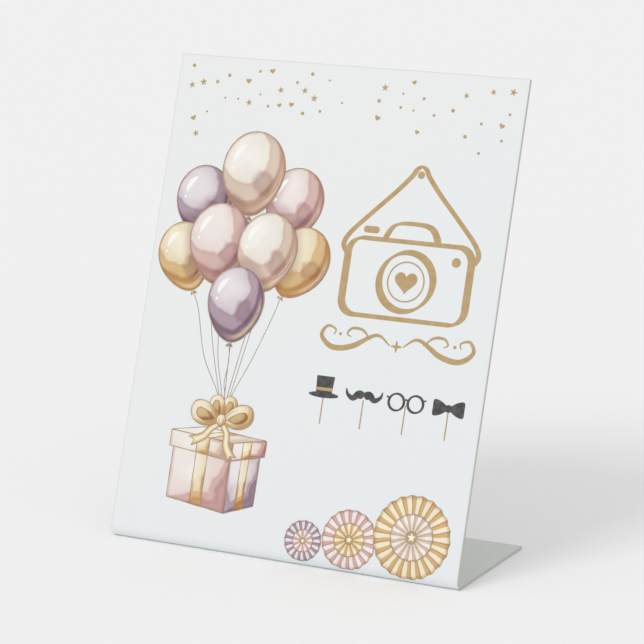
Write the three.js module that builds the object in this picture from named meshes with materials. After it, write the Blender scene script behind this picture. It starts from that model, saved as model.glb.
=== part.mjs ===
// A free-standing tabletop sign: one thin sheet, coated white, folded near its lower end into
// a foot, with a printed film on its front. The panel leans back over the foot, so that its top
// edge stands nearly plumb above the foot's back edge and the sign can't tip backwards.
//
// Millimetres. +Z is up, +X runs along the width, and the printed face looks towards -Y.
// The origin is on the table, below the middle of the sign's outer box.

import * as THREE from "three";

// Sheet
const SIGN_WIDTH = 203.2;
const FACE_HEIGHT = 254.8; // the flat of the panel, from the top edge down its slope to the bend
const FOOT_DEPTH = 75.4; // the flat of the foot, from the bend to the back edge
const LEAN_DEGREES = 18.6; // how far the panel leans back from upright
const SHEET_THICKNESS = 1.5;
const INNER_BEND_RADIUS = 3.5;
const CORNER_RADIUS = 0.8; // the four free corners of the blank, seen square on
const EDGE_RADIUS = 0.25; // the cut edge is rounded over on both sides, all round the blank

// Printed film
const FILM_THICKNESS = 0.12;
const ADHESIVE_THICKNESS = 0.03; // left open between the film and the sheet
const FILM_REVEAL = 0.3; // sheet left bare outside the film, along the top and both sides
const FILM_TABLE_GAP = 0.15; // between the film's lower end, under the bend, and the table

// Facets
const BEND_STEPS = 28;
const CORNER_STEPS = 5;
const EDGE_STEPS = 3;

// What follows from them
const LEAN = THREE.MathUtils.degToRad(LEAN_DEGREES);
const BEND_SWEEP = Math.PI / 2 + LEAN;
const OUTER_BEND_RADIUS = INNER_BEND_RADIUS + SHEET_THICKNESS;
const BEND_LENGTH = OUTER_BEND_RADIUS * BEND_SWEEP; // measured on the outer face
const BLANK_LENGTH = FACE_HEIGHT + BEND_LENGTH + FOOT_DEPTH;

// The middle of the bend's arcs, as (y, z), before the sign is moved onto its origin.
const BEND_CENTRE = new THREE.Vector2(0, OUTER_BEND_RADIUS);

// The blank is described flat and then folded. A point of it has a distance along the outer
// face, from the top edge (0) to the foot's back edge, and a depth below that face, which is
// negative for what lies on the face. This gives its place (y, z) once folded.
function folded(along, depth) {
  const intoBend = along - FACE_HEIGHT;
  const intoFoot = intoBend - BEND_LENGTH;
  if (intoFoot > 0) {
    return new THREE.Vector2(intoFoot, depth);
  }
  // Outward is the panel's own direction on the flat, and turns down to the table in the bend.
  const turned = THREE.MathUtils.clamp(intoBend / OUTER_BEND_RADIUS, 0, BEND_SWEEP);
  const heading = Math.PI - LEAN + turned;
  const outward = new THREE.Vector2(Math.cos(heading), Math.sin(heading));
  const place = BEND_CENTRE.clone().addScaledVector(outward, OUTER_BEND_RADIUS - depth);
  if (intoBend < 0) {
    const upSlope = new THREE.Vector2(Math.sin(LEAN), Math.cos(LEAN));
    place.addScaledVector(upSlope, -intoBend);
  }
  return place;
}

// Distances along the blank at which the bend's facets meet.
function bendStations() {
  const step = BEND_LENGTH / BEND_STEPS;
  return Array.from({ length: BEND_STEPS + 1 }, (_, i) => FACE_HEIGHT + i * step);
}

// One long side of a rectangular blank with round corners, from its start to its end, as
// { along, halfWidth } pairs, for an outline drawn in by inset all round. The other side
// mirrors it. A corner with no radius is a single point.
function blankSide({ start, end, halfWidth, cornerRadius }, inset) {
  const arc = cornerRadius - inset;
  const steps = cornerRadius > 0 ? CORNER_STEPS : 0;
  const corner = Array.from({ length: steps + 1 }, (_, i) => {
    const angle = steps > 0 ? (i / steps) * (Math.PI / 2) : 0;
    return {
      fromEnd: cornerRadius - arc * Math.cos(angle),
      halfWidth: halfWidth - cornerRadius + arc * Math.sin(angle),
    };
  });
  const first = corner.map((c) => ({ along: start + c.fromEnd, halfWidth: c.halfWidth }));
  const last = corner.map((c) => ({ along: end - c.fromEnd, halfWidth: c.halfWidth })).reverse();
  const between = bendStations()
    .filter((along) => along > start + cornerRadius && along < end - cornerRadius)
    .map((along) => ({ along, halfWidth: halfWidth - inset }));
  return [...first, ...between, ...last];
}

// The layers that a blank's rim is built from, from its outer face to its inner one. Each has
// a depth, and how far its outline is drawn in. A rounded rim has a quarter circle at each face.
function rimLayers(outerDepth, innerDepth, edgeRadius) {
  if (edgeRadius === 0) {
    return [
      { depth: outerDepth, inset: 0 },
      { depth: innerDepth, inset: 0 },
    ];
  }
  const quarter = Array.from({ length: EDGE_STEPS + 1 }, (_, i) => {
    const angle = (i / EDGE_STEPS) * (Math.PI / 2);
    return {
      sink: edgeRadius * (1 - Math.cos(angle)),
      inset: edgeRadius * (1 - Math.sin(angle)),
    };
  });
  const outer = quarter.map((q) => ({ depth: outerDepth + q.sink, inset: q.inset }));
  const inner = quarter.map((q) => ({ depth: innerDepth - q.sink, inset: q.inset })).reverse();
  return [...outer, ...inner];
}

// The closed surface of a blank once folded: a loop of points for each layer, a rim that joins
// the loops, and strips from side to side across the first loop and the last.
function foldedBlank(blank, layers) {
  const positions = [];
  for (const { depth, inset } of layers) {
    const side = blankSide(blank, inset);
    const right = side.map((p) => ({ x: p.halfWidth, along: p.along }));
    const left = side.map((p) => ({ x: -p.halfWidth, along: p.along })).reverse();
    for (const { x, along } of [...right, ...left]) {
      const place = folded(along, depth);
      positions.push(x, place.x, place.y);
    }
  }

  const loop = positions.length / 3 / layers.length;
  const indices = [];
  const quad = (a, b, c, d) => indices.push(a, b, c, a, c, d);
  for (let layer = 0; layer + 1 < layers.length; layer += 1) {
    const here = layer * loop;
    const next = here + loop;
    for (let i = 0; i < loop; i += 1) {
      const j = (i + 1) % loop;
      quad(here + i, here + j, next + j, next + i);
    }
  }
  const innerLoop = (layers.length - 1) * loop;
  for (let i = 0; i + 1 < loop / 2; i += 1) {
    const opposite = loop - 1 - i;
    quad(i, opposite, opposite - 1, i + 1);
    quad(innerLoop + i, innerLoop + i + 1, innerLoop + opposite - 1, innerLoop + opposite);
  }

  const geometry = new THREE.BufferGeometry();
  geometry.setAttribute("position", new THREE.Float32BufferAttribute(positions, 3));
  geometry.setIndex(indices);
  geometry.computeVertexNormals();
  return geometry;
}

function piece(name, geometry, material) {
  const mesh = new THREE.Mesh(geometry, material);
  mesh.name = name;
  return mesh;
}

// The sheet: panel, bend and foot in one.
function bentSheet() {
  const blank = {
    start: 0,
    end: BLANK_LENGTH,
    halfWidth: SIGN_WIDTH / 2,
    cornerRadius: CORNER_RADIUS,
  };
  const layers = rimLayers(0, SHEET_THICKNESS, EDGE_RADIUS);
  const whiteCoat = new THREE.MeshStandardMaterial({
    color: 0xd4d6d2,
    roughness: 0.5,
    metalness: 0,
  });
  return piece("bent_sheet", foldedBlank(blank, layers), whiteCoat);
}

// The printed film: it covers the panel and runs on under the bend until just above the table.
function printedFilm() {
  const backDepth = -ADHESIVE_THICKNESS;
  const frontDepth = backDepth - FILM_THICKNESS;
  const clearHeight = OUTER_BEND_RADIUS - FILM_TABLE_GAP;
  const turnLeft = Math.acos(clearHeight / (OUTER_BEND_RADIUS - frontDepth));
  const blank = {
    start: FILM_REVEAL,
    end: FACE_HEIGHT + OUTER_BEND_RADIUS * (BEND_SWEEP - turnLeft),
    halfWidth: SIGN_WIDTH / 2 - FILM_REVEAL,
    cornerRadius: Math.max(CORNER_RADIUS - FILM_REVEAL, 0),
  };
  const layers = rimLayers(frontDepth, backDepth, 0);
  const satinPrint = new THREE.MeshStandardMaterial({
    color: 0xe9ecec,
    roughness: 0.4,
    metalness: 0,
  });
  return piece("printed_film", foldedBlank(blank, layers), satinPrint);
}

const sign = new THREE.Group();
sign.add(bentSheet(), printedFilm());

// Centres the sign's box on the origin, with the foot's underside on the table.
const box = new THREE.Box3().setFromObject(sign);
const middle = box.getCenter(new THREE.Vector3());
sign.position.set(-middle.x, -middle.y, -box.min.z);

export default sign;
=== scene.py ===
"""The looks of a folded tabletop sign: its coated sheet, its printed face, and a plain studio.

Metres. +Z is up, +X runs along the width, and the printed face looks towards -Y. The print is
drawn in millimetres on the face itself: x to the right, and up the slope from where the bend
starts.
"""

import math
import random

import bpy
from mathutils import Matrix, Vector


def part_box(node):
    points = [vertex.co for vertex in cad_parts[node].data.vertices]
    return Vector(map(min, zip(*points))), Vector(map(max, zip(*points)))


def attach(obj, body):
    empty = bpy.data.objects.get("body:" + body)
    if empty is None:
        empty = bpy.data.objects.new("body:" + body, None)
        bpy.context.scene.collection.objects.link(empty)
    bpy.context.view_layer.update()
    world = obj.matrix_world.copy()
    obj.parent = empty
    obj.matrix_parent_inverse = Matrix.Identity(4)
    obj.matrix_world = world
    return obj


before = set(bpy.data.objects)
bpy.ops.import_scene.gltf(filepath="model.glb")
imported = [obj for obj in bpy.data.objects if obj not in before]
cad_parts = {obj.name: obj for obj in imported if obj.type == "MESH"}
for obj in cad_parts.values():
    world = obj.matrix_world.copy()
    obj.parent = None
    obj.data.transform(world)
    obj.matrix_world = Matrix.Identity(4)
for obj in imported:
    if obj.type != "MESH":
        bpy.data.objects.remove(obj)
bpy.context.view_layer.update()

MM = 0.001

# Camera: where the photograph was taken from
CAMERA_PLACE = (0.6854, -1.3089, 0.4676)
CAMERA_YAW = math.radians(27.522)
CAMERA_PITCH = math.radians(13.2642)  # looking down
CAMERA_LENS = 163.41
CAMERA_SENSOR = 36.0

# Studio
AMBIENT = 0.770
KEY_STRENGTH = 0.718
KEY_AZIMUTH = math.radians(-25)  # from straight in front, round to the left
KEY_ELEVATION = math.radians(45.5)
KEY_ANGLE = math.radians(25)  # how large the light looks, seen from the sign
DIFFUSE_BOUNCES = 12  # light goes to and fro many times between the pale lip and the pale table
FLOOR_SIZE = 40.0
FLOOR_GREY = 0.935
HORIZON_GREY = 0.875

# The print's layers. Every printed solid lies at a level, counted in layers above the film, and
# in front of those that it covers.
LAYER = 0.012 * MM
INK_THICKNESS = 0.008 * MM
FILM_BEND_RADIUS = 5.15 * MM  # of the film's outer face, round the bend
BEND_STEP = 0.7  # millimetres between the places of a motif that runs on round the bend
DECIMETRE = 100  # millimetres

# Film
UNPRINTED_MARGIN = 0.8 * MM  # film round the print that shows its own plain white
MARGIN_BLUR = 0.05 * MM
TOP_MARGIN_STRENGTH = 0.5  # it shows less along the top
REFLECTION_START = 0.10  # the painted reflection's tint turns down the face and across it, in metres
REFLECTION_RANGE = (-0.08, 0.20)
REFLECTION_CLOUDS = 0.12  # how far its clouds reach

# Sheet
RIM_WIDTH = 0.26 * MM  # just past the rounded edge, which is 0.25 mm
SHEAR_MARKS = (2200.0, 260.0, 260.0)  # to the metre, along x, y and z

# Colours, as sRGB
# The print's white, with a painted reflection: greener high up, bluer and a little darker low down
PRINT_WHITE_REFLECTING_HIGH = (234, 236, 235)
PRINT_WHITE_REFLECTING_LOW = (231, 235, 237)
MARGIN_WHITE = (230, 232, 230)
COAT = (211, 213, 209)
COAT_DULL = (208, 210, 206)
EDGE_COAT = (196, 199, 196)
EDGE_COAT_DULL = (184, 187, 184)
GOLD = (186, 156, 106)
CHARCOAL = (62, 60, 60)
OUTLINE_TAN = (164, 134, 98)
STRING_GREY = (158, 140, 128)
GOUACHE = (250, 248, 244)
SHADE_MAUVE = (172, 146, 150)


def linear(colour):
    """An sRGB colour of 0 to 255 as the linear colour that a shader takes."""
    def channel(c):
        c /= 255
        return c / 12.92 if c <= 0.04045 else ((c + 0.055) / 1.055) ** 2.4
    return tuple(channel(c) for c in colour) + (1.0,)


def add_object(name, data):
    made = bpy.data.objects.new(name, data)
    bpy.context.scene.collection.objects.link(made)
    return made


# Camera

def make_camera():
    data = bpy.data.cameras.new("camera")
    data.lens = CAMERA_LENS
    data.sensor_width = CAMERA_SENSOR
    data.sensor_fit = "HORIZONTAL"
    camera = add_object("camera", data)
    camera.location = CAMERA_PLACE
    camera.rotation_euler = (math.pi / 2 - CAMERA_PITCH, 0, CAMERA_YAW)
    bpy.context.scene.camera = camera


# Shader nodes

def add_node(tree, kind, inputs=(), **settings):
    """A node with its settings. An input is a value, or the output that feeds it."""
    made = tree.nodes.new(kind)
    for name, value in settings.items():
        setattr(made, name, value)
    for key, value in dict(inputs).items():
        if isinstance(value, bpy.types.NodeSocket):
            tree.links.new(value, made.inputs[key])
        else:
            made.inputs[key].default_value = value
    return made


class Shader:
    """A material's nodes, with short calls for the few kinds that this script uses."""

    def __init__(self, name, roughness, specular):
        self.material = bpy.data.materials.new(name)
        self.material.use_nodes = True
        self.tree = self.material.node_tree
        self.principled = self.tree.nodes["Principled BSDF"]
        self.set("Roughness", roughness)
        self.set("Metallic", 0.0)
        self.set("Specular IOR Level", specular)

    def set(self, socket, value):
        self.principled.inputs[socket].default_value = value

    def feed(self, socket, output):
        self.tree.links.new(output, self.principled.inputs[socket])

    def node(self, kind, inputs=(), **settings):
        return add_node(self.tree, kind, inputs, **settings)

    def place(self):
        """The point in the sign's frame, in metres."""
        return self.node("ShaderNodeTexCoord").outputs["Object"]

    def uv(self, layer):
        return self.node("ShaderNodeUVMap", uv_map=layer).outputs["UV"]

    def noise(self, scale, detail=3.0, where=None, output="Fac"):
        inputs = {"Vector": where or self.place(), "Scale": scale, "Detail": detail}
        return self.node("ShaderNodeTexNoise", inputs).outputs[output]

    def math(self, operation, a, b=0.0, c=0.0):
        return self.node("ShaderNodeMath", {0: a, 1: b, 2: c}, operation=operation).outputs[0]

    def vector(self, operation, a, b=(0, 0, 0), c=(0, 0, 0)):
        made = self.node("ShaderNodeVectorMath", {0: a, 1: b, 2: c}, operation=operation)
        return made.outputs["Value" if operation in ("LENGTH", "DISTANCE") else "Vector"]

    def step(self, value, low, high, top=1.0, bottom=0.0):
        """Goes smoothly from bottom to top as value goes from low to high."""
        inputs = {"Value": value, "From Min": low, "From Max": high}
        inputs |= {"To Min": bottom, "To Max": top}
        made = self.node("ShaderNodeMapRange", inputs, interpolation_type="SMOOTHSTEP")
        return made.outputs["Result"]

    def mix(self, factor, a, b, blend="MIX"):
        inputs = {0: factor, 6: a, 7: b}  # the numbers of the node's colour sockets
        made = self.node("ShaderNodeMix", inputs, data_type="RGBA", blend_type=blend)
        return made.outputs[2]

    def bump(self, height, strength, distance):
        inputs = {"Height": height, "Strength": strength, "Distance": distance}
        self.feed("Normal", self.node("ShaderNodeBump", inputs).outputs["Normal"])


# Finishes of the sheet and the film

def satin(shader):
    """The faint orange peel and the slightly uneven shine of a satin laminate."""
    shader.bump(shader.noise(900.0, detail=2.0), strength=0.05, distance=0.02 * MM)
    shader.feed("Roughness", shader.step(shader.noise(45.0), 0.3, 0.7, top=0.46, bottom=0.39))


def film_white(half_width, top_height):
    """The print's white with a painted reflection, greener high up and bluer low down, inside a
    plain margin.
    """
    shader = Shader("film_white", roughness=0.42, specular=0.4)
    split = shader.node("ShaderNodeSeparateXYZ", {0: shader.place()})
    x, z = split.outputs["X"], split.outputs["Z"]
    # Painted reflection: the white turns bluer and a little darker down the face and to the right,
    # in soft clouds
    across = shader.math("MULTIPLY_ADD", x, 1.0, REFLECTION_START)
    fall = shader.math("MULTIPLY_ADD", z, -1.0, across)
    cloudy = shader.math("MULTIPLY_ADD", shader.noise(11.0), REFLECTION_CLOUDS, fall)
    reflection_share = shader.step(cloudy, *REFLECTION_RANGE)
    colour = shader.mix(reflection_share, linear(PRINT_WHITE_REFLECTING_HIGH), linear(PRINT_WHITE_REFLECTING_LOW))
    aside = shader.math("ABSOLUTE", x)
    edge_x = half_width - UNPRINTED_MARGIN
    edge_z = top_height - UNPRINTED_MARGIN
    beside = shader.step(aside, edge_x - MARGIN_BLUR, edge_x + MARGIN_BLUR)
    above = shader.step(z, edge_z - MARGIN_BLUR, edge_z + MARGIN_BLUR, top=TOP_MARGIN_STRENGTH)
    margin = shader.math("MAXIMUM", beside, above)
    shader.feed("Base Color", shader.mix(margin, colour, linear(MARGIN_WHITE)))
    satin(shader)
    return shader.material


def powder_coat():
    """The sheet's pale coat: a fine orange peel, and a trace of dust in its tone."""
    shader = Shader("powder_coat", roughness=0.5, specular=0.4)
    tone = shader.step(shader.noise(380.0, detail=5.0), 0.3, 0.7)
    shader.feed("Base Color", shader.mix(tone, linear(COAT), linear(COAT_DULL)))
    shader.bump(shader.noise(1400.0), strength=0.12, distance=0.04 * MM)
    shader.feed("Roughness", shader.step(shader.noise(90.0), 0.3, 0.7, top=0.56, bottom=0.47))
    return shader.material


def coated_edge():
    """The sheet's cut edge: darker than the coat on its faces, with shear marks."""
    shader = Shader("coated_edge", roughness=0.5, specular=0.4)
    stretched = shader.vector("MULTIPLY", shader.place(), SHEAR_MARKS)
    marks = shader.noise(1.0, detail=4.0, where=stretched)
    shader.feed("Base Color", shader.mix(marks, linear(EDGE_COAT), linear(EDGE_COAT_DULL)))
    shader.bump(marks, strength=0.25, distance=0.03 * MM)
    shader.feed("Roughness", shader.step(marks, 0.3, 0.7, top=0.60, bottom=0.48))
    return shader.material


# Inks and paints of the print. A piece's "disc" map runs from a shape's middle, at (0.5, 0.5),
# to its outline, at a radius of 0.5. Its "sheet" map is the place on the face, in decimetres.

def flat_ink(name, colour, mottle=0.05):
    """One printed colour, mottled a little as ink on film is."""
    shader = Shader(name, roughness=0.42, specular=0.4)
    base = linear(colour)
    lighter = tuple(c + (1 - c) * mottle for c in base[:3]) + (1.0,)
    darker = tuple(c * (1 - mottle) for c in base[:3]) + (1.0,)
    patch = shader.step(shader.noise(26.0, detail=5.0, where=shader.uv("sheet")), 0.35, 0.65)
    shader.feed("Base Color", shader.mix(patch, darker, lighter))
    satin(shader)
    return shader.material


DRIED_EDGE = 0.45  # of a glaze's strength, once more along its edge


class Paint(Shader):
    """A watercolour: glazes with crisp dried edges laid over each other, and grain."""

    def __init__(self, name, body, seed):
        super().__init__(name, roughness=0.42, specular=0.4)
        noise_shift = (seed * 3.1, seed * 1.7, 0)  # so that each paint has clouds of its own
        self.sheet = self.vector("ADD", self.uv("sheet"), noise_shift)
        self.disc = self.vector("MULTIPLY_ADD", self.uv("disc"), (2, 2, 0), (-1, -1, 0))
        self.colour = linear(body)

    def wandering(self, amount, scale=9.0):
        """The disc map with its points moved about by a soft noise."""
        clouds = self.noise(scale, where=self.sheet, output="Color")
        drift = self.vector("SUBTRACT", clouds, (0.5, 0.5, 0.5))
        return self.vector("MULTIPLY_ADD", drift, (amount, amount, 0), self.disc)

    def glaze(self, depth, start, tint, strength=1.0, soft=0.03):
        """A glaze where depth is past start, with pigment gathered at its edge."""
        mask = self.step(depth, start - soft, start + soft, top=strength)
        self.colour = self.mix(mask, self.colour, linear(tint), "MULTIPLY")
        rise = self.step(depth, start - soft, start + soft * 0.6)
        fall = self.step(depth, start + soft * 3, start + soft * 0.6)
        line = self.math("MULTIPLY", self.math("MULTIPLY", rise, fall), DRIED_EDGE * strength)
        self.colour = self.mix(line, self.colour, linear(tint), "MULTIPLY")

    def lay(self, factor, colour):
        self.colour = self.mix(factor, self.colour, linear(colour))

    def far_from(self, x, up, where):
        """The distance from a point of the disc map."""
        return self.vector("DISTANCE", where, (x, up, 0))

    def finish(self):
        """Uneven pigment and its grain, and the laminate over it all."""
        pool = self.step(self.noise(6.0, detail=5.0, where=self.sheet), 0.40, 0.62, bottom=0.94)
        self.colour = self.mix(1.0, self.colour, pool, "MULTIPLY")
        grain = self.step(self.noise(150.0, detail=3.0, where=self.sheet), 0.3, 0.7, bottom=0.965)
        self.colour = self.mix(1.0, self.colour, grain, "MULTIPLY")
        self.feed("Base Color", self.colour)
        satin(self)
        return self.material


# Each paint: its palest wash, the body, and the tints that two glazes multiply it by
TONES = {
    "ivory": ((246, 242, 235), (236, 226, 212), (232, 214, 204), (222, 196, 184)),
    "blush": ((246, 237, 233), (232, 212, 205), (232, 208, 206), (216, 186, 190)),
    "straw": ((246, 237, 214), (230, 210, 168), (236, 214, 178), (222, 190, 146)),
    "mauve": ((236, 229, 232), (203, 187, 194), (212, 196, 206), (182, 162, 180)),
    "deep straw": ((214, 184, 132), (198, 164, 112), (214, 184, 146), (200, 170, 132)),
}
BOUNCE = (240, 214, 176)
BLOTCH = (214, 194, 204)
CAST_SHADE = (206, 188, 196)
SHADE_TALLER = 1.2  # the height of a cast shade, as a share of its width


def balloon_paint(name, tone, seed, in_front):
    """A round, translucent balloon, and the shade of the balloons in front of it."""
    palest, body, first, second = TONES[tone]
    paint = Paint(name, body, seed)
    loose = paint.wandering(0.42)
    near = paint.wandering(0.16, scale=16.0)
    from_light = paint.far_from(-0.32, 0.38, loose)
    paint.lay(paint.step(from_light, 1.05, 0.15), palest)
    paint.glaze(from_light, 0.74, first, 0.75, soft=0.05)
    paint.glaze(paint.far_from(-0.22, 0.26, near), 0.98, second, 0.8, soft=0.06)
    # A mauve blotch low on the shaded side, as wet paint leaves
    blotch = paint.far_from(0.34, -0.30, loose)
    paint.glaze(paint.math("SUBTRACT", 1.0, blotch), 0.70, BLOTCH, 0.55, soft=0.08)
    # Light thrown back on the rim, and pigment that gathered at the outline
    radius = paint.vector("LENGTH", paint.disc)
    low_side = paint.step(paint.far_from(0.62, -0.62, paint.disc), 0.95, 0.35)
    band = paint.math("MULTIPLY", paint.step(radius, 0.80, 0.87), paint.step(radius, 0.97, 0.91))
    paint.lay(paint.math("MULTIPLY", paint.math("MULTIPLY", band, low_side), 0.6), BOUNCE)
    paint.glaze(paint.vector("LENGTH", near), 0.95, first, 0.55)
    for x, up, width in in_front:
        cast_shade(paint, x, up, width)
    return paint.finish()


def cast_shade(paint, x, up, width):
    """The soft shade round a balloon, on one behind it."""
    middle = (x / DECIMETRE, up / DECIMETRE, 0)
    away = paint.vector("SUBTRACT", paint.uv("sheet"), middle)
    # In halves of the balloon's width and height
    halves = (2 * DECIMETRE / width, 2 * DECIMETRE / (width * SHADE_TALLER), 0)
    away = paint.vector("LENGTH", paint.vector("MULTIPLY", away, halves))
    near = paint.step(away, 1.30, 1.02, top=0.55)
    paint.colour = paint.mix(near, paint.colour, linear(CAST_SHADE), "MULTIPLY")


def wash_paint(name, tone, seed, depth=1.0):
    """A plain wash for a flat shape, darker towards its outline and a corner."""
    palest, body, first, second = TONES[tone]
    paint = Paint(name, body, seed)
    loose = paint.wandering(0.5, scale=11.0)
    paint.lay(paint.step(paint.far_from(-0.4, 0.4, loose), 1.2, 0.2), palest)
    paint.glaze(paint.far_from(-0.35, 0.35, loose), 0.95, first, 0.7 * depth, soft=0.07)
    paint.glaze(paint.far_from(-0.5, 0.5, loose), 1.35, second, 0.6 * depth, soft=0.07)
    radius = paint.vector("LENGTH", paint.wandering(0.06, scale=20.0))
    paint.glaze(radius, 0.93, first, 0.5 * depth)
    return paint.finish()


def ribbon_paint(name, tone, seed):
    """A band of paint: pale along its middle, darker along both edges."""
    palest, body, first, second = TONES[tone]
    paint = Paint(name, body, seed)
    across = paint.node("ShaderNodeSeparateXYZ", {0: paint.wandering(0.12, 20.0)}).outputs["Y"]
    edge = paint.math("ABSOLUTE", across)
    paint.lay(paint.step(edge, 0.6, 0.1), palest)
    paint.glaze(edge, 0.55, first, 0.6, soft=0.1)
    paint.glaze(edge, 0.86, second, 0.7, soft=0.05)
    return paint.finish()


def rosette_paint(name, tone, seed, pleats):
    """A pleated paper fan: a light and a dark side to each pleat, deeper towards the middle."""
    palest, body, first, second = TONES[tone]
    paint = Paint(name, body, seed)
    split = paint.node("ShaderNodeSeparateXYZ", {0: paint.wandering(0.05, 20.0)})
    angle = paint.math("ARCTAN2", split.outputs["Y"], split.outputs["X"])
    # Pleats are counted on from 100, so that the count stays above 0
    count = paint.math("MULTIPLY_ADD", angle, pleats / (2 * math.pi), 100.0)
    share = paint.math("FRACT", count)
    paint.lay(paint.step(share, 0.52, 0.46), palest)
    paint.glaze(share, 0.5, first, 0.85, soft=0.03)
    paint.glaze(share, 0.86, second, 0.5, soft=0.05)
    radius = paint.vector("LENGTH", paint.disc)
    paint.glaze(paint.math("SUBTRACT", 1.0, radius), 0.48, first, 0.5, soft=0.25)
    paint.glaze(radius, 0.94, first, 0.6)
    return paint.finish()


# The printed face, as the frame has it

class Face:
    """The film's front. Places on it are in millimetres, lifts off it in metres."""

    def __init__(self, film):
        outward = [p for p in film.data.polygons if p.normal.y < 0]
        flat = max(outward, key=lambda p: p.area)
        corners = [film.data.vertices[i].co for i in flat.vertices]
        low = min(corners, key=lambda c: c.z)
        self.out = flat.normal.copy()
        self.up_slope = self.out.cross(Vector((1, 0, 0)))
        self.start = Vector((0, low.y, low.z))
        self.bend_centre = self.start - self.out * FILM_BEND_RADIUS

    def at(self, x, up, lift):
        """The point in the sign's frame. Below 0 the face goes on round the bend."""
        across = Vector((x * MM, 0, 0))
        if up >= 0:
            return self.start + across + self.up_slope * (up * MM) + self.out * lift
        turn = -up * MM / FILM_BEND_RADIUS
        outward = self.out * math.cos(turn) - self.up_slope * math.sin(turn)
        return self.bend_centre + across + outward * (FILM_BEND_RADIUS + lift)


face = Face(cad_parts["printed_film"])


# Lines and outlines, in millimetres

def turned(point, angle):
    c, s = math.cos(angle), math.sin(angle)
    return (point[0] * c - point[1] * s, point[0] * s + point[1] * c)


def placed(points, x, up, angle=0.0, size=1.0, mirror=False):
    """The points mirrored, scaled, turned and moved to (x, up)."""
    sign = -1 if mirror else 1
    made = []
    for a, b in points:
        a, b = turned((a * size * sign, b * size), angle)
        made.append((a + x, b + up))
    return made


def anticlockwise(outline):
    """The closed outline, turned about if it runs clockwise."""
    area = sum(a[0] * b[1] - b[0] * a[1] for a, b in zip(outline, outline[1:] + outline[:1]))
    return outline if area > 0 else outline[::-1]


def arc(x, up, radius, start, end, height=None, steps=24):
    """Points of an arc or ellipse from one angle to the other, in degrees."""
    height = height or radius
    angles = [math.radians(start + (end - start) * i / steps) for i in range(steps + 1)]
    return [(x + radius * math.cos(a), up + height * math.sin(a)) for a in angles]


def ring(x, up, radius, height=None, steps=48):
    return arc(x, up, radius, 0, 360, height, steps)[:-1]


def smooth(points, per_span=12, closed=False):
    """A smooth line through the points, as a chain of cubics."""
    count = len(points)

    def point(i):
        if closed:
            return points[i % count]
        if i < 0:
            return tuple(2 * a - b for a, b in zip(points[0], points[1]))
        if i >= count:
            return tuple(2 * a - b for a, b in zip(points[-1], points[-2]))
        return points[i]

    line = []
    for span in range(count if closed else count - 1):
        before, start, end, after = (point(span + k) for k in (-1, 0, 1, 2))
        for step in range(per_span):
            t = step / per_span
            line.append(tuple(
                0.5 * (2 * b + (c - a) * t + (2 * a - 5 * b + 4 * c - d) * t * t
                       + (3 * b - a - 3 * c + d) * t ** 3)
                for a, b, c, d in zip(before, start, end, after)))
    return line if closed else line + [points[-1]]


def even(line, step, closed=False):
    """The line with its points set about a step apart."""
    line = line + line[:1] if closed else line
    run = lengths_along(line)
    count = max(3, round(run[-1] / step))
    last = count if closed else count + 1
    return [point_along(line, run, run[-1] * i / count) for i in range(last)]


def rounded_box(left, right, low, high, radius):
    """A closed outline, anticlockwise."""
    corners = [
        (right - radius, low + radius, -90), (right - radius, high - radius, 0),
        (left + radius, high - radius, 90), (left + radius, low + radius, 180),
    ]
    line = []
    for x, up, start in corners:
        line += arc(x, up, radius, start, start + 90, steps=8)
    return line


def heart(size, steps=72):
    """A heart's outline about its middle, anticlockwise, about two sizes wide."""
    line = []
    for i in range(steps):
        t = -2 * math.pi * i / steps
        lobes = 13 * math.cos(t) - 5 * math.cos(2 * t) - 2 * math.cos(3 * t) - math.cos(4 * t)
        line.append((math.sin(t) ** 3 * size, lobes * size / 16))
    return line


def star(points, outer, inner, steps=6):
    """A star's outline about its middle, with one point up and sides that curve inwards."""
    line = []
    for i in range(points * 2 * steps):
        share = i / (2 * steps)
        to_tip = abs(share % 1.0 - 0.5) * 2
        reach = inner + (outer - inner) * to_tip ** 2.2
        line.append(turned((reach, 0), math.pi / 2 + 2 * math.pi * share / points))
    return line


def lengths_along(line):
    run = [0.0]
    for a, b in zip(line, line[1:]):
        run.append(run[-1] + math.dist(a, b))
    return run


def point_along(line, run, want):
    """The point of the line at a length from its start. run has each point's own length."""
    at = 0
    while at < len(run) - 2 and run[at + 1] < want:
        at += 1
    share = min((want - run[at]) / max(run[at + 1] - run[at], 1e-9), 1.0)
    return tuple(a + (b - a) * share for a, b in zip(line[at], line[at + 1]))


# Pens: each gives a line's width from its direction there and the share of it that is drawn

def nib(thin, thick, slant=20.0):
    """A broad nib held at a slant."""
    held = Vector((math.cos(math.radians(slant)), math.sin(math.radians(slant))))

    def width(direction, share):
        across = abs(direction.x * held.y - direction.y * held.x)
        return thin + (thick - thin) * across
    return width


def pressed(hair, belly, power=1.4):
    """A pointed brush, pressed in the middle of its stroke."""
    return lambda direction, share: hair + (belly - hair) * math.sin(math.pi * share) ** power


def tapered(thick, fine, power=1.0):
    return lambda direction, share: fine + (thick - fine) * (1 - share) ** power


def plain(width):
    return lambda direction, share: width


def sides(line, pen, closed=False, round_ends=True):
    """The points on the left and on the right of a line drawn with a pen."""
    count = len(line)

    def near(i):
        return i % count if closed else min(max(i, 0), count - 1)

    run = lengths_along(line)
    total = run[-1]
    halves, normals = [], []
    for i in range(count):
        before, after = line[near(i - 1)], line[near(i + 1)]
        direction = Vector((after[0] - before[0], after[1] - before[1])).normalized()
        normals.append((-direction.y, direction.x))
        halves.append(pen(direction, run[i] / total) / 2)
    halves = [sum(halves[near(i + k)] for k in range(-2, 3)) / 5 for i in range(count)]
    if round_ends and not closed:
        halves = rounded_ends(halves, run)
    left = [(p[0] + n[0] * h, p[1] + n[1] * h) for p, n, h in zip(line, normals, halves)]
    right = [(p[0] - n[0] * h, p[1] - n[1] * h) for p, n, h in zip(line, normals, halves)]
    return left, right


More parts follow.
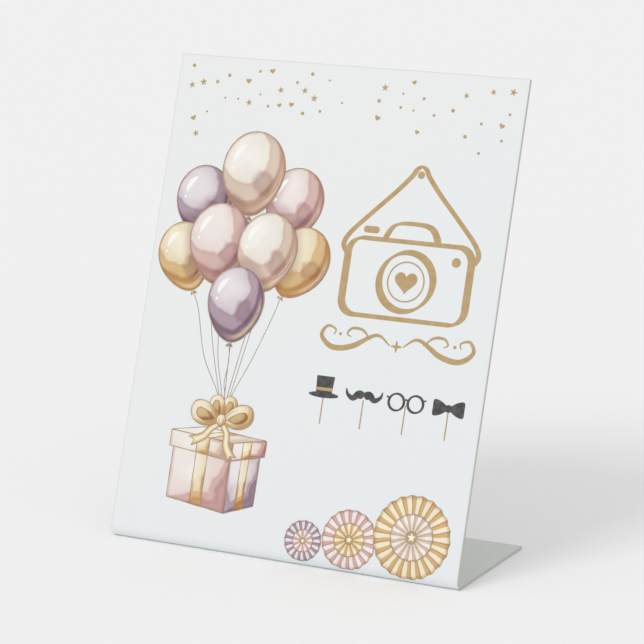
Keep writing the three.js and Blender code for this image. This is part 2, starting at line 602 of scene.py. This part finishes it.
def rounded_ends(halves, run):
    """Half widths brought down to a half circle at each end of a line."""
    made = list(halves)
    for i, at in enumerate(run):
        for end, gone in ((halves[0], at), (halves[-1], run[-1] - at)):
            if gone < end:
                rounded = math.sqrt(max(end ** 2 - (end - gone) ** 2, 0))
                made[i] = min(made[i], max(rounded, 0.02))
    return made


def wavering(pen, amount, seed):
    """The same pen in a hand that isn't quite steady."""
    rng = random.Random(seed)
    waves = [(rng.randint(*counts), rng.uniform(0, 6.28)) for counts in ((2, 4), (5, 9))]

    def width(direction, share):
        sway = sum(math.sin(2 * math.pi * n * share + phase) for n, phase in waves) / 2
        return pen(direction, share) * (1 + amount * sway)
    return width


# Printed pieces

class Printed:
    """One motif: thin closed solids that lie on the film, each with its paint and its level."""

    def __init__(self, name):
        self.name = name
        self.points, self.faces, self.slots = [], [], []
        self.disc, self.sheet, self.materials = [], [], []

    def add(self, places, faces, material, level, disc):
        """A solid from its front faces, anticlockwise. disc has each place on the disc map."""
        first, count = len(self.points), len(places)
        for thickness in (INK_THICKNESS, 0.0):
            lift = level * LAYER + thickness
            self.points += [face.at(x, up, lift) for x, up in places]
            self.disc += disc
            self.sheet += [(x / DECIMETRE, up / DECIMETRE) for x, up in places]
        edges = {edge for f in faces for edge in zip(f, f[1:] + f[:1])}
        rim = [(b, a, a + count, b + count) for a, b in sorted(edges) if (b, a) not in edges]
        under = [[i + count for i in reversed(f)] for f in faces]
        solid = [[first + i for i in f] for f in [*faces, *under, *rim]]
        if material not in self.materials:
            self.materials.append(material)
        self.faces += solid
        self.slots += [self.materials.index(material)] * len(solid)

    def wash(self, x, up, outline, material, level, rings=10, fine_from=None):
        """A filled shape. Its outline is given about its middle (x, up).

        Past the share fine_from of the way out, its rings lie close enough to follow the bend.
        """
        outline = anticlockwise(outline)
        spokes = len(outline)
        places, disc = [(x, up)], [(0.5, 0.5)]
        shares = [number / rings for number in range(1, rings + 1)]
        if fine_from is not None:
            reach = max(math.hypot(a, b) for a, b in outline)
            fine = math.ceil(reach * (1 - fine_from) / BEND_STEP)
            shares = [share for share in shares if share < fine_from]
            shares += [1 - (1 - fine_from) * number / fine for number in range(fine, -1, -1)]
        rings = len(shares)
        for share in shares:
            for a, b in outline:
                reach = 0.5 * share / max(math.hypot(a, b), 1e-9)
                places.append((x + a * share, up + b * share))
                disc.append((0.5 + a * reach, 0.5 + b * reach))
        faces = [[0, 1 + i, 1 + (i + 1) % spokes] for i in range(spokes)]
        for number in range(rings - 1):
            inner = 1 + number * spokes
            outer = inner + spokes
            for i in range(spokes):
                j = (i + 1) % spokes
                faces.append([inner + i, outer + i, outer + j, inner + j])
        self.add(places, faces, material, level, disc)

    def shape(self, outline, material, level, rings=2):
        """A filled shape whose outline is given where it lies."""
        x = sum(p[0] for p in outline) / len(outline)
        up = sum(p[1] for p in outline) / len(outline)
        self.wash(x, up, [(a - x, b - up) for a, b in outline], material, level, rings)

    def stroke(self, line, pen, material, level, closed=False):
        """A drawn line, with round ends unless it is closed."""
        left, right = sides(line, pen, closed)
        count = len(line)
        spans = range(count if closed else count - 1)
        faces = [[count + i, count + (i + 1) % count, (i + 1) % count, i] for i in spans]
        shares = [i / count for i in range(count)]
        disc = [(share, 1.0) for share in shares] + [(share, 0.0) for share in shares]
        self.add(left + right, faces, material, level, disc)

    def band(self, line, pen, notch, material, level):
        """A strip of ribbon that ends in a swallowtail. Returns its outline."""
        run = lengths_along(line)
        left, right = sides(line, pen, round_ends=False)
        middle = [point_along(line, run, s * (1 - notch / run[-1])) for s in run]
        count = len(line)
        faces = []
        for i in range(count - 1):
            faces.append([count + i, count + i + 1, i + 1, i])
            faces.append([2 * count + i, 2 * count + i + 1, count + i + 1, count + i])
        disc = [(i / count, across) for across in (1.0, 0.5, 0.0) for i in range(count)]
        self.add(left + middle + right, faces, material, level, disc)
        return left + [middle[-1]] + right[::-1]

    def finish(self):
        mesh = bpy.data.meshes.new(self.name)
        mesh.from_pydata(self.points, [], self.faces)
        for name, values in (("disc", self.disc), ("sheet", self.sheet)):
            layer = mesh.uv_layers.new(name=name)
            for loop in mesh.loops:
                layer.data[loop.index].uv = values[loop.vertex_index]
        for material in self.materials:
            mesh.materials.append(material)
        mesh.polygons.foreach_set("material_index", self.slots)
        mesh.update()
        piece = add_object(self.name, mesh)
        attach(piece, "root")


# Inks that several motifs share
gold_ink = flat_ink("gold_ink", GOLD)
charcoal_ink = flat_ink("charcoal_ink", CHARCOAL)
outline_ink = flat_ink("outline_ink", OUTLINE_TAN, 0.12)
string_ink = flat_ink("string_ink", STRING_GREY, 0.10)
gouache = flat_ink("gouache", GOUACHE, 0.02)
shade_ink = flat_ink("shade_ink", SHADE_MAUVE, 0.12)


# Balloons

BALLOON_LEVEL = 3  # of those furthest back
BALLOON_STEP = 3  # levels from one balloon to the next in front
BUNCH_DEPTH = 4  # the most balloons that lie in front of one
STRING_LEVEL = 0.7
STRING_STEP = 0.25
TIE = (-45.0, 62.0)  # where all the strings meet
NECK_DROP = 0.67  # below a balloon's middle, as a share of its width
TALLER = 1.08  # a balloon's height, as a share of its width
TALLER_BELOW = 1.24  # on top of that, in its lower half
SHADE_REACH = 45.0  # between the middles of two balloons, if one shades the other
KNOT_SINK = 0.3  # how far a knot runs up behind its balloon
KNOT_FITS = 34  # the width of the balloon that the knot's points are drawn for
KNOT = [(0.0, 0.8), (-0.8, -0.4), (-1.9, -2.2), (0.0, -1.7), (1.9, -2.2), (0.8, -0.4)]
KNOT_END = 1.6  # below its middle, where the string is tied
BUNCH = [
    # x, up, width, tilt in degrees, paint, how many others lie in front of it at most
    (-75, 178, 33, 15, "mauve", 4),
    (-21, 181, 33, -15, "blush", 4),
    (-48, 196, 37, 2, "ivory", 3),
    (-82, 148, 31, 24, "straw", 3),
    (-12, 151, 32, -24, "straw", 3),
    (-62, 157, 36, 8, "blush", 2),
    (-33, 155, 35, -6, "ivory", 1),
    (-47, 126, 33, 0, "mauve", 0),
]


def balloon_outline(width, tilt, spokes=80):
    """A balloon's outline about its middle: round above, drawn in towards its neck below."""
    outline = []
    for i in range(spokes):
        angle = 2 * math.pi * i / spokes
        x, up = math.cos(angle), math.sin(angle) * TALLER
        if up < 0:
            depth = (up / TALLER) ** 2
            x *= 1 - 0.16 * depth * (1.6 - 0.6 * depth)
            up *= TALLER_BELOW
        outline.append(turned((x * width / 2, up * width / 2), tilt))
    return outline


def balloons_before(x, up, order):
    """The balloons that shade the one at (x, up), as (x, up, width)."""
    return [
        (other_x, other_up, width)
        for other_x, other_up, width, _, _, other_order in BUNCH
        if other_order < order and math.dist((other_x, other_up), (x, up)) < SHADE_REACH
    ]


def draw_knot(piece, x, up, width, tilt, paint, level):
    neck_x, neck_up = turned((0, -width * NECK_DROP), tilt)
    x, up = x + neck_x, up + neck_up - KNOT_SINK
    outline = placed(smooth(KNOT, 6, closed=True), 0, 0, tilt, width / KNOT_FITS)
    piece.wash(x, up, outline, paint, level, rings=5)
    line = even(placed(outline, x, up), 0.3, closed=True)
    piece.stroke(line, plain(0.32), outline_ink, level + 1, closed=True)


def draw_lights(piece, x, up, radius, level):
    """What the light leaves on a balloon: two spots bare of paint, and a crescent of shade."""
    shoulder = arc(x, up, radius * 0.70, 168, 118, radius * 0.78)
    piece.stroke(even(shoulder, 0.4), pressed(0.3, radius * 0.17, 0.8), gouache, level)
    glint = arc(x, up, radius * 0.70, 184, 176, radius * 0.78, steps=6)
    piece.stroke(even(glint, 0.3), pressed(0.3, radius * 0.10, 0.6), gouache, level)
    crescent = arc(x, up, radius * 0.88, -72, 8, radius * 0.99)
    piece.stroke(even(crescent, 0.5), pressed(0.12, 0.75, 1.2), shade_ink, level)


def balloon(number, x, up, width, tilt, tone, order):
    """A balloon with its knot. Returns where its string is tied."""
    tilt = math.radians(tilt)
    outline = balloon_outline(width, tilt)
    in_front = balloons_before(x, up, order)
    paint = balloon_paint(f"paint_balloon_{number}", tone, number, in_front)
    level = BALLOON_LEVEL + BALLOON_STEP * (BUNCH_DEPTH - order)
    piece = Printed(f"print_balloon_{number}")
    draw_knot(piece, x, up, width, tilt, paint, level)
    piece.wash(x, up, outline, paint, level + 1.3, rings=12)
    pen = wavering(plain(0.5), 0.35, number)
    piece.stroke(placed(outline, x, up), pen, outline_ink, level + 2, closed=True)
    draw_lights(piece, x, up, width / 2, level + 2)
    piece.finish()
    end_x, end_up = turned((0, -width * NECK_DROP - KNOT_END * width / KNOT_FITS), tilt)
    return (x + end_x, up + end_up)


def string_line(x, up):
    """From a knot at (x, up) down to the tie, bowed outwards."""
    tie_x, tie_up = TIE
    aside = x - tie_x
    points = [
        (x, up),
        (x - aside * 0.132 + 0.8, up - 9),
        (tie_x + aside * 0.55 - 0.6, (up + tie_up) / 2),
        (tie_x + aside * 0.16, tie_up + 14),
        TIE,
    ]
    return even(smooth(points), 0.8)


def make_balloons():
    ends = [balloon(number, *values) for number, values in enumerate(BUNCH, 1)]
    strings = Printed("print_strings")
    for number, (x, up) in enumerate(ends):
        level = STRING_LEVEL + STRING_STEP * number
        strings.stroke(string_line(x, up), plain(0.42), string_ink, level)
    strings.finish()


# Gift box under the balloons

LINES_APART = 0.25  # levels: neighbours share an edge, and their outlines cross there
GIFT_PAINTS = {
    # tone, seed, depth of the glazes
    "gift_front": ("blush", 21, 1.0),
    "gift_side": ("mauve", 22, 1.0),
    "lid_front": ("ivory", 23, 1.0),
    "lid_side": ("blush", 24, 1.4),
    "lid_top": ("ivory", 25, 0.5),
    "gift_ribbon": ("straw", 26, 1.0),
    "gift_ribbon_shade": ("straw", 27, 1.6),
}
GIFT_PARTS = [
    # four corners, paint, level
    (((-71, 19), (-36, 14.5), (-36, 45), (-71, 48)), "gift_front", 3),
    (((-36, 14.5), (-19, 20.5), (-19, 48.5), (-36, 45)), "gift_side", 3),
    (((-57, 17.2), (-50, 16.3), (-50, 46), (-57, 46.6)), "gift_ribbon", 5),
    (((-29.8, 16.7), (-25.4, 18.2), (-25.4, 47), (-29.8, 46)), "gift_ribbon_shade", 5),
    (((-73.5, 46), (-36, 42), (-36, 51.5), (-73.5, 54.5)), "lid_front", 7),
    (((-36, 42), (-16.5, 46.5), (-16.5, 55), (-36, 51.5)), "lid_side", 7),
    (((-73.5, 54.5), (-36, 51.5), (-16.5, 55), (-54, 58)), "lid_top", 7),
    (((-57.4, 44.3), (-49.8, 43.5), (-49.8, 52.6), (-57.4, 53.2)), "gift_ribbon", 9),
    (((-29.9, 43.4), (-24.9, 44.6), (-24.9, 53.5), (-29.9, 52.6)), "gift_ribbon_shade", 9),
    (((-57.4, 53.2), (-49.8, 52.6), (-33.5, 56.3), (-41, 57)), "gift_ribbon", 9),
]


def make_gift():
    paints = {
        name: wash_paint(f"paint_{name}", tone, seed, depth)
        for name, (tone, seed, depth) in GIFT_PAINTS.items()
    }
    box = Printed("print_gift")
    for number, (corners, paint, level) in enumerate(GIFT_PARTS):
        outline = even(list(corners), 1.0, closed=True)
        box.shape(outline, paints[paint], level, rings=8)
        pen = wavering(plain(0.4), 0.4, 30 + number)
        apart = LINES_APART * (number % 4)
        box.stroke(outline, pen, outline_ink, level + 1 + apart, closed=True)
    box.finish()


# Bow

TAIL_LEVEL = 11
LOOP_LEVEL = 15
LOOP_STEP = 2.1  # levels from one loop to the next
KNOT_LEVEL = 24
BOW_LOOP = [
    (0.6, 0.9), (5, 6.2), (11, 9.3), (16.6, 8.6),
    (18.8, 4.2), (17.0, -0.8), (11.4, -3.4), (5, -2.6),
]
BOW_INSIDE = [(4.2, 0.9), (8.4, 4.2), (13.4, 5.6), (15.4, 3.6), (14.2, 0.6), (9.6, -0.9)]
BOW_CREASES = [
    # three points each, from the knot outwards
    ((2.0, 1.6), (5.2, 4.9), (9.6, 7.0)),
    ((2.2, 0.2), (4.6, 1.6), (7.4, 3.0)),
    ((2.0, -0.6), (5.4, -1.4), (8.8, -1.9)),
]
BOW_TAILS = [
    ((-0.6, -1.0), (-5.2, -4.2), (-9.4, -9.0), (-16.8, -12.2)),
    ((0.6, -1.0), (4.2, -6.0), (5.0, -12.5), (9.6, -19.5)),
]
BOW_LOOPS = [
    # size, turn in degrees, mirrored
    (0.74, 52, False),
    (0.74, -52, True),
    (1.0, 2, False),
    (1.0, -2, True),
]
BOW_LINE = 0.36  # how wide its outline is


def draw_bow_tail(bow, number, points, paint):
    level = TAIL_LEVEL + 2 * number
    line = even(smooth(placed(points, *TIE)), 0.5)
    outline = bow.band(line, tapered(3.0, 5.4, 0.7), 2.6, paint, level)
    bow.stroke(even(outline, 0.4, True), plain(BOW_LINE), outline_ink, level + 1, closed=True)


def draw_bow_loop(bow, number, size, angle, mirror, parts):
    """A loop from its parts, each an outline with its paint and how far it lies above."""
    level = LOOP_LEVEL + LOOP_STEP * number
    setting = (*TIE, math.radians(angle), size, mirror)
    for points, paint, rise in parts:
        line = placed(smooth(points, 8, closed=True), *setting)
        bow.shape(line, paint, level + rise, rings=6)
        pen = wavering(plain(BOW_LINE), 0.4, 40 + number)
        bow.stroke(even(line, 0.5, True), pen, outline_ink, level + rise + 0.4, closed=True)
    for points in BOW_CREASES:
        crease = placed(smooth(points, 8), *setting)
        bow.stroke(even(crease, 0.4), tapered(0.5, 0.12), outline_ink, level + 1.6)


def draw_bow_knot(bow, paint):
    x, up = TIE
    knot = placed(ring(0, 0, 2.7, 3.1, steps=30), x, up + 0.6)
    bow.shape(knot, paint, KNOT_LEVEL, rings=4)
    bow.stroke(knot, plain(0.4), outline_ink, KNOT_LEVEL + 1, closed=True)
    for side in (-0.8, 0.7):
        fold = smooth([(side, 2.4), (side * 1.7, 0.4), (side, -1.6)], 8)
        line = even(placed(fold, x, up), 0.3)
        bow.stroke(line, pressed(0.12, 0.4), outline_ink, KNOT_LEVEL + 2)


def make_bow():
    """A four-looped bow with two swallow tails, where the strings meet."""
    ribbon = wash_paint("paint_bow", "straw", 31)
    inside = wash_paint("paint_bow_inside", "deep straw", 32)
    tail_paint = ribbon_paint("paint_bow_tails", "straw", 33)
    bow = Printed("print_bow")
    for number, points in enumerate(BOW_TAILS):
        draw_bow_tail(bow, number, points, tail_paint)
    parts = ((BOW_LOOP, ribbon, 0), (BOW_INSIDE, inside, 0.8))
    for number, (size, angle, mirror) in enumerate(BOW_LOOPS):
        draw_bow_loop(bow, number, size, angle, mirror, parts)
    draw_bow_knot(bow, ribbon)
    bow.finish()


# Gold camera on its strap, and a flourish below it

MOTIF_X, MOTIF_UP = 49.0, 148.0
LENS_DROP = 2.5  # of the lens's middle below the motif's
FLOURISH_DROP = 36


def both_sides(half, top):
    """Points that run up the left side, over the top and down the right side."""
    return [*half, *top, *[(-a, b) for a, b in half[::-1]]]


def draw_strap(drawn, x, up):
    half = [(-35.6, 9), (-38.2, 14), (-35.0, 20.5), (-24, 32), (-12.5, 43.5), (-5.0, 52.0)]
    over = [(-2.6, 55.8), (0, 57.2), (2.6, 55.8)]
    strap = smooth(placed(both_sides(half, over), x, up), 14)
    drawn.stroke(even(strap, 0.5), nib(1.2, 3.0, 0), gold_ink, 2)
    drawn.wash(x, up + 53.0, ring(0, 0, 2.0, steps=28), gold_ink, 2, rings=3)


def make_camera_motif():
    x, up = MOTIF_X, MOTIF_UP
    drawn = Printed("print_camera")
    body = even(rounded_box(x - 35, x + 35, up - 22, up + 18, 8), 0.6, closed=True)
    drawn.stroke(body, nib(1.4, 4.4), gold_ink, 1, closed=True)
    half_hump = [(-15.5, 18), (-12, 24.5), (-7.5, 27)]
    hump = smooth(placed(both_sides(half_hump, [(0, 27.5)]), x, up))
    drawn.stroke(even(hump, 0.5), nib(1.4, 3.8), gold_ink, 2)
    lens_up = up - LENS_DROP
    drawn.stroke(ring(x, lens_up, 15.2, steps=96), nib(1.3, 4.2, 35), gold_ink, 2, closed=True)
    drawn.stroke(ring(x, lens_up, 10.2, steps=72), plain(0.8), gold_ink, 2, closed=True)
    drawn.wash(x, lens_up, heart(6.4), gold_ink, 2, rings=3)
    drawn.wash(x + 26.5, up + 10, ring(0, 0, 2.5), gold_ink, 2, rings=3)
    button = even(rounded_box(x - 28, x - 19, up + 20.8, up + 24.4, 1.6), 0.4, closed=True)
    drawn.shape(button, gold_ink, 2)
    draw_strap(drawn, x, up)
    drawn.finish()


SWEEP = [
    (3.5, 0), (12, 4.6), (25, -2.4), (36, -4.0),
    (43, 1.2), (40.5, 6.6), (35.5, 5.4), (36.2, 2.2),
]
TWIG = [(15, 1.8), (20, 6.4), (26, 6.8), (28.6, 3.8), (26, 2.2)]


def make_flourish():
    x, up = MOTIF_X, MOTIF_UP - FLOURISH_DROP
    drawn = Printed("print_flourish")
    for mirror in (False, True):
        sweep = even(placed(smooth(SWEEP, 16), x, up, mirror=mirror), 0.5)
        drawn.stroke(sweep, pressed(0.6, 3.0, 1.1), gold_ink, 1)
        twig = even(placed(smooth(TWIG, 12), x, up, mirror=mirror), 0.4)
        drawn.stroke(twig, pressed(0.5, 1.5, 1.1), gold_ink, 2)
        dot_x = x + (-32.5 if mirror else 32.5)
        drawn.wash(dot_x, up + 3.2, ring(0, 0, 0.9, steps=20), gold_ink, 2, rings=2)
    drawn.wash(x, up, star(4, 3.4, 1.2), gold_ink, 2, rings=3)
    drawn.finish()


# Dark props on sticks

PROPS_UP = 84.0
PROPS_X = (12.0, 35.0, 59.0, 83.0)


def upright_box(low_width, high_width, low, high):
    """Corners of a form about x = 0 that may be wider above or below."""
    return [
        (-low_width / 2, low), (low_width / 2, low),
        (high_width / 2, high), (-high_width / 2, high),
    ]


def draw_stick(drawn, x, up):
    line = [(x, up - 1 - 0.5 * i) for i in range(32)]
    drawn.stroke(line, plain(0.75), gold_ink, 1)


def draw_top_hat(drawn, x, up):
    crown = placed(upright_box(9.2, 10.4, -0.2, 8.6), x, up)
    drawn.shape(even(crown, 0.5, closed=True), charcoal_ink, 2)
    drawn.shape(ring(x, up - 1.2, 8.6, 1.55), charcoal_ink, 3)
    band = placed(upright_box(9.5, 9.7, 1.0, 2.6), x, up)
    drawn.shape(even(band, 0.5, closed=True), gold_ink, 4)


def draw_moustache(drawn, x, up):
    half = smooth([(0.2, 0.2), (3.0, 1.5), (6.2, -0.8), (9.4, 1.0), (10.4, 4.0)], 14)
    for level, mirror in ((2, False), (3, True)):
        line = even(placed(half, x, up, mirror=mirror), 0.35)
        drawn.stroke(line, tapered(4.8, 0.5, 0.85), charcoal_ink, level)


def draw_spectacles(drawn, x, up):
    for side in (-1, 1):
        lens = ring(x + side * 5.4, up, 4.3, steps=60)
        drawn.stroke(lens, nib(0.9, 1.5, 20), charcoal_ink, 2, closed=True)
        arm = [(x + side * out, up + rise) for out, rise in ((9.4, 1.6), (10.6, 2.4), (11.4, 2.2))]
        drawn.stroke(even(smooth(arm), 0.3), plain(0.8), charcoal_ink, 3)
    bridge = arc(x, up + 0.2, 1.6, 150, 30, 1.5, steps=12)
    drawn.stroke(even(bridge, 0.25), plain(0.9), charcoal_ink, 3)


def draw_bow_tie(drawn, x, up):
    upper = [(0.8, 0.9), (4.6, 3.5), (8.4, 4.0)]
    lower = [(a, -b) for a, b in upper[::-1]]
    wing = smooth([*upper, (8.8, 0.0), *lower], 8, closed=True)
    for mirror in (False, True):
        drawn.shape(placed(wing, x, up, mirror=mirror), charcoal_ink, 2)
    knot = rounded_box(x - 1.5, x + 1.5, up - 1.9, up + 1.9, 0.9)
    drawn.shape(even(knot, 0.3, closed=True), charcoal_ink, 3)


def make_props():
    drawn = Printed("print_props")
    for x in PROPS_X:
        draw_stick(drawn, x, PROPS_UP)
    props = (draw_top_hat, draw_moustache, draw_spectacles, draw_bow_tie)
    for draw_prop, x in zip(props, PROPS_X):
        draw_prop(drawn, x, PROPS_UP)
    drawn.finish()


# Paper rosettes in the lower right corner

ROSETTES = [
    # x, up, radius, outer paint, inner paint, pleats, level
    (73, 17, 21.5, "straw", "ivory", 22, 6),
    (38.5, 11, 15.5, "blush", "straw", 18, 3),
    (12.5, 7, 10.5, "mauve", "blush", 16, 12),
]
INNER_TIER = 0.56  # of the outer tier's radius


def pleated_edge(radius, pleats, steps=6):
    """A fan's outline about its middle, which comes out a little at each fold."""
    outline = []
    for i in range(pleats * steps):
        to_fold = abs((i / steps) % 1.0 - 0.5) * 2
        reach = radius * (0.965 + 0.035 * to_fold)
        outline.append(turned((reach, 0), 2 * math.pi * i / (pleats * steps)))
    return outline


def make_rosette(number, x, up, radius, outer, inner, pleats, level):
    """Two pleated tiers, with a gold button and a star on it."""
    piece = Printed(f"print_rosette_{number}")
    tiers = [("outer", outer, radius, pleats), ("inner", inner, radius * INNER_TIER, pleats - 6)]
    for rise, (tier, tone, reach, folds) in enumerate(tiers):
        seed = 50 + number + 9 * rise
        paint = rosette_paint(f"paint_rosette_{number}_{tier}", tone, seed, folds)
        outline = pleated_edge(reach, folds)
        # The outer tier alone reaches the bend
        fine_from = (up - 0.5) / radius if tier == "outer" else None
        piece.wash(x, up, outline, paint, level + 2 * rise, rings=6, fine_from=fine_from)
        rim = placed(outline, x, up)
        pen = wavering(plain(0.42), 0.35, 70 + number)
        piece.stroke(rim, pen, outline_ink, level + 2 * rise + 1, closed=True)
    button = ring(0, 0, radius * 0.15, steps=36)
    piece.wash(x, up, button, gold_ink, level + 4, rings=3)
    piece.stroke(placed(button, x, up), plain(0.36), outline_ink, level + 5, closed=True)
    spark = star(5, radius * 0.11, radius * 0.05, steps=3)
    piece.wash(x, up, spark, gouache, level + 5, rings=2)
    piece.finish()


def make_rosettes():
    for number, values in enumerate(ROSETTES, 1):
        make_rosette(number, *values)


# Confetti

CONFETTI_SEED = 12
CONFETTI_TRIES = 110
CONFETTI_APART = 6.5
CONFETTI_ASIDE = 95  # as far as it goes on both sides
CONFETTI_TOP = 249
CONFETTI_FALL = 52
CONFETTI_LOWEST = 233  # in the middle
CONFETTI_HANG = 0.3  # how much lower it goes for each step aside
TOP_BALLOON = (-48, 196)
CLEAR_OF_BALLOON = 27


def room_for(place, kept):
    """Whether a place is high enough, and clear of the balloons and of what is there."""
    x, up = place
    too_low = up < CONFETTI_LOWEST - CONFETTI_HANG * abs(x)
    if too_low or math.dist(place, TOP_BALLOON) < CLEAR_OF_BALLOON:
        return False
    return all(math.dist(place, other) >= CONFETTI_APART for other in kept)


def confetti_outline(kind, size, tilt):
    if kind == "star":
        return placed(star(5, 1.2 + size, 0.5 + size * 0.45), 0, 0, tilt)
    if kind == "heart":
        return placed(heart(0.9 + size * 0.7, 36), 0, 0, tilt)
    return ring(0, 0, size, steps=24)


def make_confetti():
    """Gold dots and a few stars and hearts that fall from the top, fewer lower down."""
    rng = random.Random(CONFETTI_SEED)
    drawn = Printed("print_confetti")
    kept = []
    for _ in range(CONFETTI_TRIES):
        x = rng.uniform(-CONFETTI_ASIDE, CONFETTI_ASIDE)
        up = CONFETTI_TOP - CONFETTI_FALL * rng.random() ** 1.6
        size = rng.choice((0.6, 0.8, 1.0))
        kind = rng.choice(("dot", "dot", "dot", "star", "heart"))
        tilt = rng.uniform(-0.5, 0.5)
        if room_for((x, up), kept):
            kept.append((x, up))
            outline = confetti_outline(kind, size, tilt)
            drawn.wash(x, up, outline, gold_ink, 1, rings=2)
    drawn.finish()


make_camera()
make_balloons()
make_gift()
make_bow()
make_camera_motif()
make_flourish()
make_props()
make_rosettes()
make_confetti()


# Finishes of the CAD nodes

def dress_nodes():
    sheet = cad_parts["bent_sheet"]
    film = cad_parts["printed_film"]
    film_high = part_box("printed_film")[1]
    film.data.materials.clear()
    film.data.materials.append(film_white(film_high.x, film_high.z))
    sheet_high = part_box("bent_sheet")[1]
    sheet.data.materials.clear()
    for finish in (powder_coat(), coated_edge()):
        sheet.data.materials.append(finish)
    for polygon in sheet.data.polygons:
        at_side = abs(polygon.center.x) > sheet_high.x - RIM_WIDTH
        polygon.material_index = 1 if at_side else 0


dress_nodes()


# Studio

def make_floor():
    half = FLOOR_SIZE / 2
    mesh = bpy.data.meshes.new("floor")
    corners = [(-half, -half, 0), (half, -half, 0), (half, half, 0), (-half, half, 0)]
    mesh.from_pydata(corners, [], [(0, 1, 2, 3)])
    shader = Shader("floor", roughness=1.0, specular=0.0)
    shader.set("Base Color", (FLOOR_GREY, FLOOR_GREY, FLOOR_GREY, 1))
    mesh.materials.append(shader.material)
    floor = add_object("floor", mesh)


def make_world():
    """A soft white surround, with the floor's own grey where it is seen."""
    world = bpy.data.worlds.new("studio")
    world.use_nodes = True
    tree = world.node_tree
    tree.nodes.clear()
    white = {"Color": (1, 1, 1, 1), "Strength": AMBIENT}
    light = add_node(tree, "ShaderNodeBackground", white)
    grey = {"Color": (HORIZON_GREY, HORIZON_GREY, HORIZON_GREY, 1)}
    horizon = add_node(tree, "ShaderNodeBackground", grey)
    rays = add_node(tree, "ShaderNodeLightPath")
    seen = rays.outputs["Is Camera Ray"]
    for kind in ("Is Glossy Ray", "Is Transmission Ray"):
        either = {0: seen, 1: rays.outputs[kind]}
        seen = add_node(tree, "ShaderNodeMath", either, operation="MAXIMUM").outputs[0]
    both = {0: seen, 1: light.outputs[0], 2: horizon.outputs[0]}
    choose = add_node(tree, "ShaderNodeMixShader", both)
    add_node(tree, "ShaderNodeOutputWorld", {0: choose.outputs[0]})
    bpy.context.scene.world = world


def make_key():
    data = bpy.data.lights.new("key", "SUN")
    data.energy = KEY_STRENGTH
    data.angle = KEY_ANGLE
    key = add_object("key", data)
    key.rotation_euler = (math.pi / 2 - KEY_ELEVATION, 0, KEY_AZIMUTH)


make_floor()
make_world()
make_key()
bpy.context.scene.view_settings.view_transform = "Standard"
bpy.context.scene.cycles.diffuse_bounces = DIFFUSE_BOUNCES
